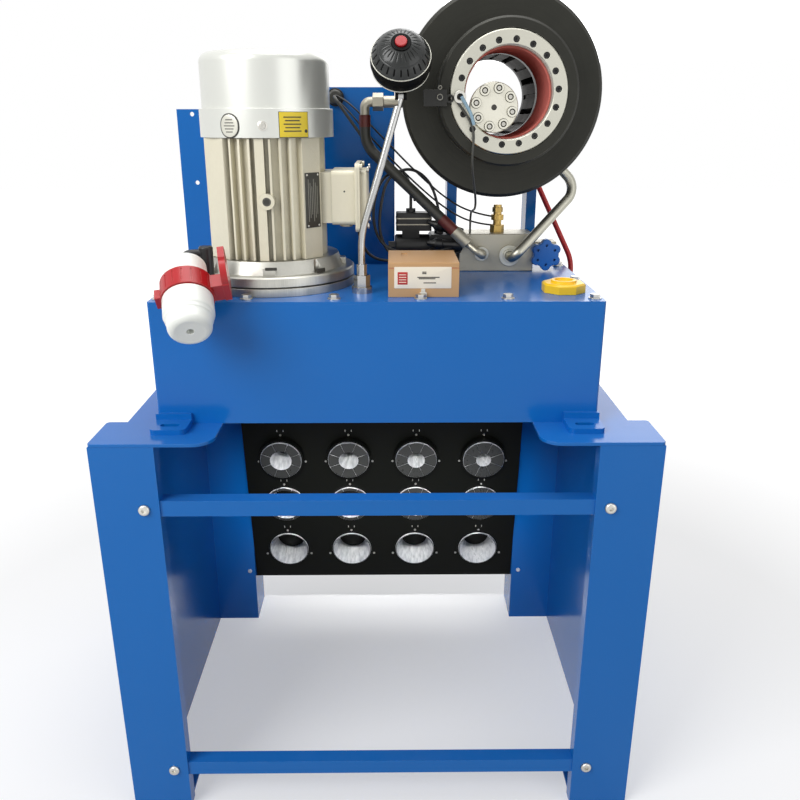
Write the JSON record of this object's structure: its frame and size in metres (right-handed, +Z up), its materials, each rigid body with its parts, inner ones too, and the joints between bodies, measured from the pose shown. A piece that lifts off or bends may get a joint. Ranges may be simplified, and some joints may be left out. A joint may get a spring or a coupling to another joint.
{
  "type": "hose crimping machine",
  "caption": "Electric hydraulic hose crimper: round crimping head, vertical motor, oil tank and valves on a folded-sheet stand with a rack of pressing dies.",
  "frame": {"origin": "on the floor, at the centre of the footprint's bounding box", "axes": "+Z up, -Y towards the operator's side (crimping head, plug and die rack face it), +X to the operator's right"},
  "size_m": [0.806, 0.6394, 1.253],
  "materials": {
    "blue": "glossy enamel",
    "star_blue": "moulded, satin",
    "zinc": "bright zinc plate",
    "rack_black": "satin black",
    "die_steel": "machined bores, oil-blackened faces",
    "motor_grey": "cast, light silver-cream paint",
    "cowl_silver": "satin silver",
    "head_black": "phosphated, oily dark olive",
    "bore_red": "red primer, satin",
    "ground_steel": "ground",
    "screw_black": "blackened",
    "valve_silver": "machined, satin",
    "coil_black": "moulded",
    "brass": "machined",
    "pipe_steel": "drawn tube, satin",
    "hose_rubber": "matte",
    "hose_red": "smooth",
    "box_tan": "smooth board",
    "cap_yellow": "moulded",
    "lamp_black": "moulded, ribbed",
    "signal_red": "moulded",
    "plug_white": "moulded, satin"
  },
  "bodies": {
    "frame": {"stand_left_side": "blue", "stand_right_side": "blue", "stand_top_plate": "blue", "cross_bars": "blue", "cross_bar_bolts": "zinc", "rack_panel": "rack_black", "die_cups": "rack_black", "stored_die_sets": "die_steel", "tank_shell": "blue", "tank_cover": "blue", "cover_bolts": "zinc", "pump_unit": "motor_grey", "motor_flange": "motor_grey", "motor_housing": "motor_grey", "fan_cowl": "cowl_silver", "terminal_box": "motor_grey", "terminal_lid": "motor_grey", "control_cabinet": "blue", "head_housing": "head_black", "bore_liner": "bore_red", "front_ring": "ground_steel", "front_ring_screws": "screw_black", "rear_cover": "head_black", "switch_bracket": "head_black", "head_stand": "blue", "manifold_block": "valve_silver", "solenoid_valve": "valve_silver", "valve_coil": "coil_black", "brass_valve": "brass", "relief_valve": "valve_silver", "steel_pipe": "pipe_steel", "hydraulic_hose": "hose_rubber", "hose_fittings": "valve_silver", "return_hose": "hose_red", "gland_cable": "hose_rubber", "switch_cable": "hose_rubber", "accessory_box": "box_tan", "lamp_stem": "zinc", "plug_body": "plug_white", "plug_holder": "coil_black"},
    "rotor": {"motor_rotor": "ground_steel"},
    "piston": {"head_piston": "head_black"},
    "tool": {"change_tool": "ground_steel"},
    "cap": {"filler_cap": "cap_yellow"},
    "knob": {"star_knob": "star_blue"},
    "lamp": {"lamp_head": "lamp_black"},
    "lamp_switch": {"lamp_button": "signal_red"},
    "plug_collar": {"plug_ring": "signal_red"},
    "shoe_1": {"shoe_1": "ground_steel"},
    "shoe_2": {"shoe_2": "ground_steel"},
    "shoe_3": {"shoe_3": "ground_steel"},
    "shoe_4": {"shoe_4": "ground_steel"},
    "shoe_5": {"shoe_5": "ground_steel"},
    "shoe_6": {"shoe_6": "ground_steel"},
    "shoe_7": {"shoe_7": "ground_steel"},
    "shoe_8": {"shoe_8": "ground_steel"},
    "die_set_1": {"die_set_1": "die_steel"},
    "die_set_2": {"die_set_2": "die_steel"},
    "die_set_3": {"die_set_3": "die_steel"},
    "die_set_4": {"die_set_4": "die_steel"}
  },
  "joints": [
    {"name": "motor_spin", "type": "hinge", "parent": "frame", "child": "rotor", "pos_m": [-0.164, -0.06228, 0.9], "axis": [0, 0, 1], "continuous": true},
    {"name": "piston_slide", "type": "slide", "parent": "frame", "child": "piston", "axis": [0, -1, 0], "range_m": [0, 0.044]},
    {"name": "shoe_1_slide", "type": "slide", "parent": "frame", "child": "shoe_1", "axis": [-1, 0, 0], "range_m": [0, 0.011]},
    {"name": "shoe_2_slide", "type": "slide", "parent": "frame", "child": "shoe_2", "axis": [-0.7071, 0, 0.7071], "range_m": [0, 0.011]},
    {"name": "shoe_3_slide", "type": "slide", "parent": "frame", "child": "shoe_3", "axis": [0, 0, 1], "range_m": [0, 0.011]},
    {"name": "shoe_4_slide", "type": "slide", "parent": "frame", "child": "shoe_4", "axis": [0.7071, 0, 0.7071], "range_m": [0, 0.011]},
    {"name": "shoe_5_slide", "type": "slide", "parent": "frame", "child": "shoe_5", "axis": [1, 0, 0], "range_m": [0, 0.011]},
    {"name": "shoe_6_slide", "type": "slide", "parent": "frame", "child": "shoe_6", "axis": [0.7071, 0, -0.7071], "range_m": [0, 0.011]},
    {"name": "shoe_7_slide", "type": "slide", "parent": "frame", "child": "shoe_7", "axis": [0, 0, -1], "range_m": [0, 0.011]},
    {"name": "shoe_8_slide", "type": "slide", "parent": "frame", "child": "shoe_8", "axis": [-0.7071, 0, -0.7071], "range_m": [0, 0.011]},
    {"name": "die_set_1_slide", "type": "slide", "parent": "frame", "child": "die_set_1", "axis": [0, -0.9877, -0.1564], "range_m": [0, 0.08]},
    {"name": "die_set_2_slide", "type": "slide", "parent": "frame", "child": "die_set_2", "axis": [0, -0.9877, -0.1564], "range_m": [0, 0.08]},
    {"name": "die_set_3_slide", "type": "slide", "parent": "frame", "child": "die_set_3", "axis": [0, -0.9877, -0.1564], "range_m": [0, 0.08]},
    {"name": "die_set_4_slide", "type": "slide", "parent": "frame", "child": "die_set_4", "axis": [0, -0.9877, -0.1564], "range_m": [0, 0.08]},
    {"name": "tool_slide", "type": "slide", "parent": "frame", "child": "tool", "axis": [0, -1, 0], "range_m": [0, 0.11]},
    {"name": "cap_turn", "type": "hinge", "parent": "frame", "child": "cap", "pos_m": [0.277, -0.14228, 0.84], "axis": [0, 0, 1], "range_deg": [0, 360]},
    {"name": "knob_turn", "type": "hinge", "parent": "frame", "child": "knob", "pos_m": [0.278, 0.02372, 0.854], "axis": [0, -1, 0], "range_deg": [-180, 180]},
    {"name": "lamp_tilt", "type": "hinge", "parent": "frame", "child": "lamp", "pos_m": [0.034, -0.14828, 1.098], "axis": [1, 0, 0], "range_deg": [-30, 30]},
    {"name": "lamp_button_press", "type": "slide", "parent": "lamp", "child": "lamp_switch", "axis": [0, 0.8192, -0.5736], "range_m": [0, 0.002], "stiffness_N_per_m": 400, "springref_m": -0.0005},
    {"name": "plug_collar_turn", "type": "hinge", "parent": "frame", "child": "plug_collar", "pos_m": [-0.26, -0.23761, 0.85594], "axis": [0.1982, -0.7948, -0.5736], "range_deg": [0, 35]}
  ],
  "couplings": [
    {"joint": "shoe_1_slide", "follows": "piston_slide", "ratio": 0.25},
    {"joint": "shoe_2_slide", "follows": "piston_slide", "ratio": 0.25},
    {"joint": "shoe_3_slide", "follows": "piston_slide", "ratio": 0.25},
    {"joint": "shoe_4_slide", "follows": "piston_slide", "ratio": 0.25},
    {"joint": "shoe_5_slide", "follows": "piston_slide", "ratio": 0.25},
    {"joint": "shoe_6_slide", "follows": "piston_slide", "ratio": 0.25},
    {"joint": "shoe_7_slide", "follows": "piston_slide", "ratio": 0.25},
    {"joint": "shoe_8_slide", "follows": "piston_slide", "ratio": 0.25}
  ]
}
